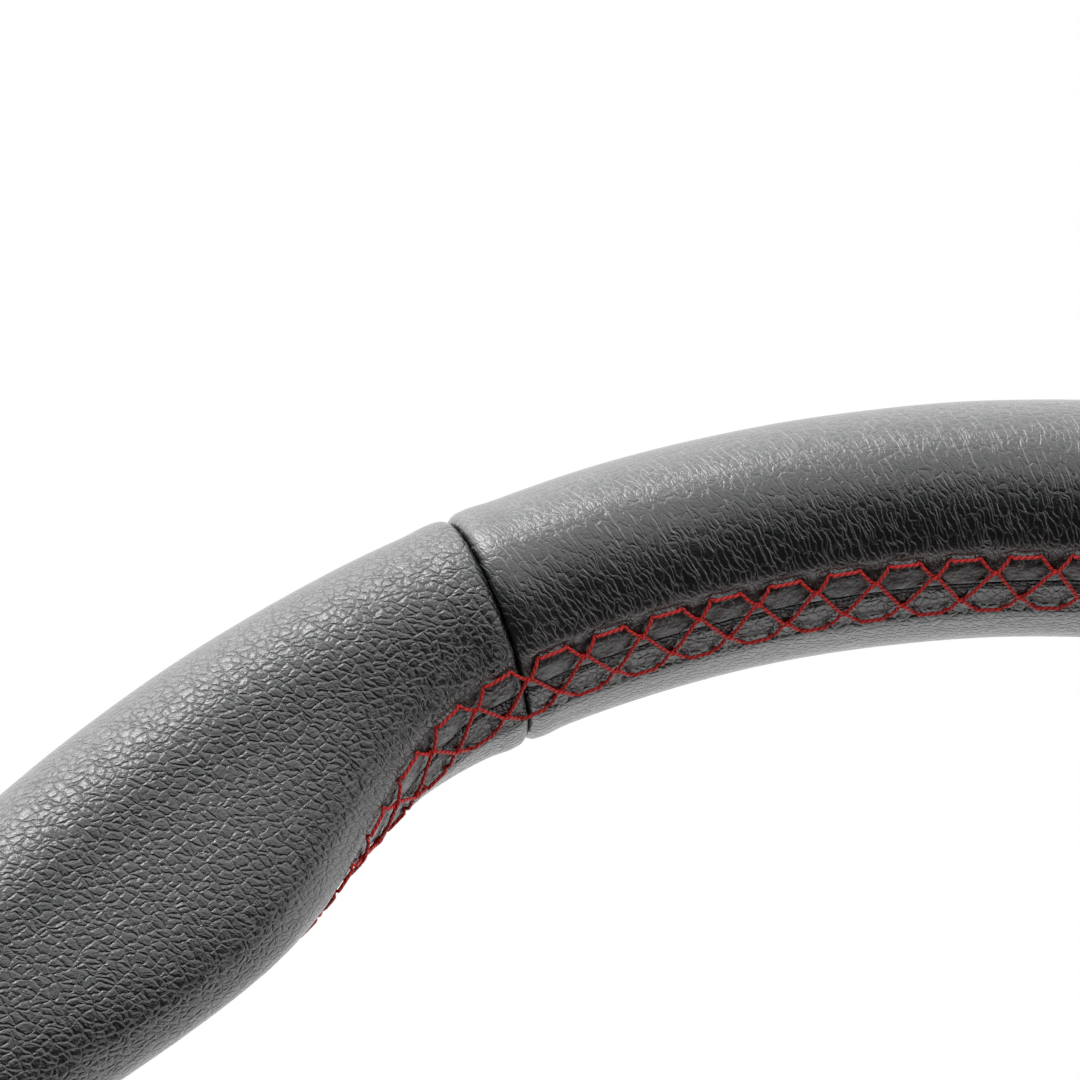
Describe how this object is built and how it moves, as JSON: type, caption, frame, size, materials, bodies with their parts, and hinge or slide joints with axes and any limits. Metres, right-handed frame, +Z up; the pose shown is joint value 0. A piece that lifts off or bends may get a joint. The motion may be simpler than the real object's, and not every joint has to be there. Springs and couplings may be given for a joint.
{
  "type": "quick release steering wheel",
  "caption": "Round leather wrapped steering wheel with thumb rests, a flat spoked frame, a horn button and a ball lock hub that slides onto a splined shaft.",
  "frame": {"origin": "centre of the mouth of the quick release socket", "axes": "+Y out of the socket towards the car, -Y towards the driver, +Z up to the top of the rim"},
  "size_m": [0.35, 0.0647, 0.35],
  "materials": {
    "foam": "moulded foam, fine open skin",
    "top_leather": "smooth leather with fine creases, semi-gloss",
    "grip_leather": "pebbled leather, semi-gloss",
    "red_thread": "waxed twisted thread over drawn-together leather edges",
    "black_anodised": "black anodised, satin",
    "sleeve_steel": "turned and ground steel",
    "black_steel": "black oxide",
    "red_anodised": "red anodised, satin",
    "spring_steel": "drawn wire",
    "ball_steel": "polished hardened steel",
    "insulator": "moulded insulating plastic",
    "brass": "plain brass",
    "lead_sleeve": "soft plastic insulation",
    "cup_plastic": "moulded, fine texture",
    "button_plastic": "moulded, semi-gloss"
  },
  "bodies": {
    "wheel": {"foam_core": "foam", "leather_top_panel": "top_leather", "leather_left_grip": "grip_leather", "leather_right_grip": "grip_leather", "leather_bottom_panel": "top_leather", "rim_stitching": "red_thread", "spoke_frame": "black_anodised", "hub_flange": "black_anodised", "spline_sleeve": "sleeve_steel", "sleeve_screws": "black_steel", "retaining_ring": "black_steel", "thrust_washer": "sleeve_steel", "collar_spring": "spring_steel", "contact_disc": "insulator", "contact_pins": "brass", "horn_leads": "lead_sleeve", "horn_cup": "cup_plastic", "horn_contacts": "brass", "horn_spring": "spring_steel", "horn_ring": "black_anodised", "hub_screws": "black_steel"},
    "collar": {"release_collar": "red_anodised"},
    "horn": {"horn_button": "button_plastic", "horn_contact_ring": "brass"},
    "ball_1": {"lock_ball_1": "ball_steel"},
    "ball_2": {"lock_ball_2": "ball_steel"},
    "ball_3": {"lock_ball_3": "ball_steel"},
    "ball_4": {"lock_ball_4": "ball_steel"},
    "ball_5": {"lock_ball_5": "ball_steel"},
    "ball_6": {"lock_ball_6": "ball_steel"}
  },
  "joints": [
    {"name": "collar_slide", "type": "slide", "parent": "wheel", "child": "collar", "axis": [0, -1, 0], "range_m": [0, 0.007], "stiffness_N_per_m": 2500, "deforming": ["collar_spring"]},
    {"name": "ball_1_slide", "type": "slide", "parent": "wheel", "child": "ball_1", "axis": [0.866, 0, 0.5], "range_m": [0, 0.00221]},
    {"name": "ball_2_slide", "type": "slide", "parent": "wheel", "child": "ball_2", "axis": [0, 0, 1], "range_m": [0, 0.00221]},
    {"name": "ball_3_slide", "type": "slide", "parent": "wheel", "child": "ball_3", "axis": [-0.866, 0, 0.5], "range_m": [0, 0.00221]},
    {"name": "ball_4_slide", "type": "slide", "parent": "wheel", "child": "ball_4", "axis": [-0.866, 0, -0.5], "range_m": [0, 0.00221]},
    {"name": "ball_5_slide", "type": "slide", "parent": "wheel", "child": "ball_5", "axis": [0, 0, -1], "range_m": [0, 0.00221]},
    {"name": "ball_6_slide", "type": "slide", "parent": "wheel", "child": "ball_6", "axis": [0.866, 0, -0.5], "range_m": [0, 0.00221]},
    {"name": "horn_press", "type": "slide", "parent": "wheel", "child": "horn", "axis": [0, 1, 0], "range_m": [0, 0.0025], "stiffness_N_per_m": 1200, "deforming": ["horn_spring"]}
  ],
  "couplings": [
    {"joint": "ball_1_slide", "follows": "collar_slide", "ratio": 0.31429},
    {"joint": "ball_2_slide", "follows": "collar_slide", "ratio": 0.31429},
    {"joint": "ball_3_slide", "follows": "collar_slide", "ratio": 0.31429},
    {"joint": "ball_4_slide", "follows": "collar_slide", "ratio": 0.31429},
    {"joint": "ball_5_slide", "follows": "collar_slide", "ratio": 0.31429},
    {"joint": "ball_6_slide", "follows": "collar_slide", "ratio": 0.31429}
  ]
}
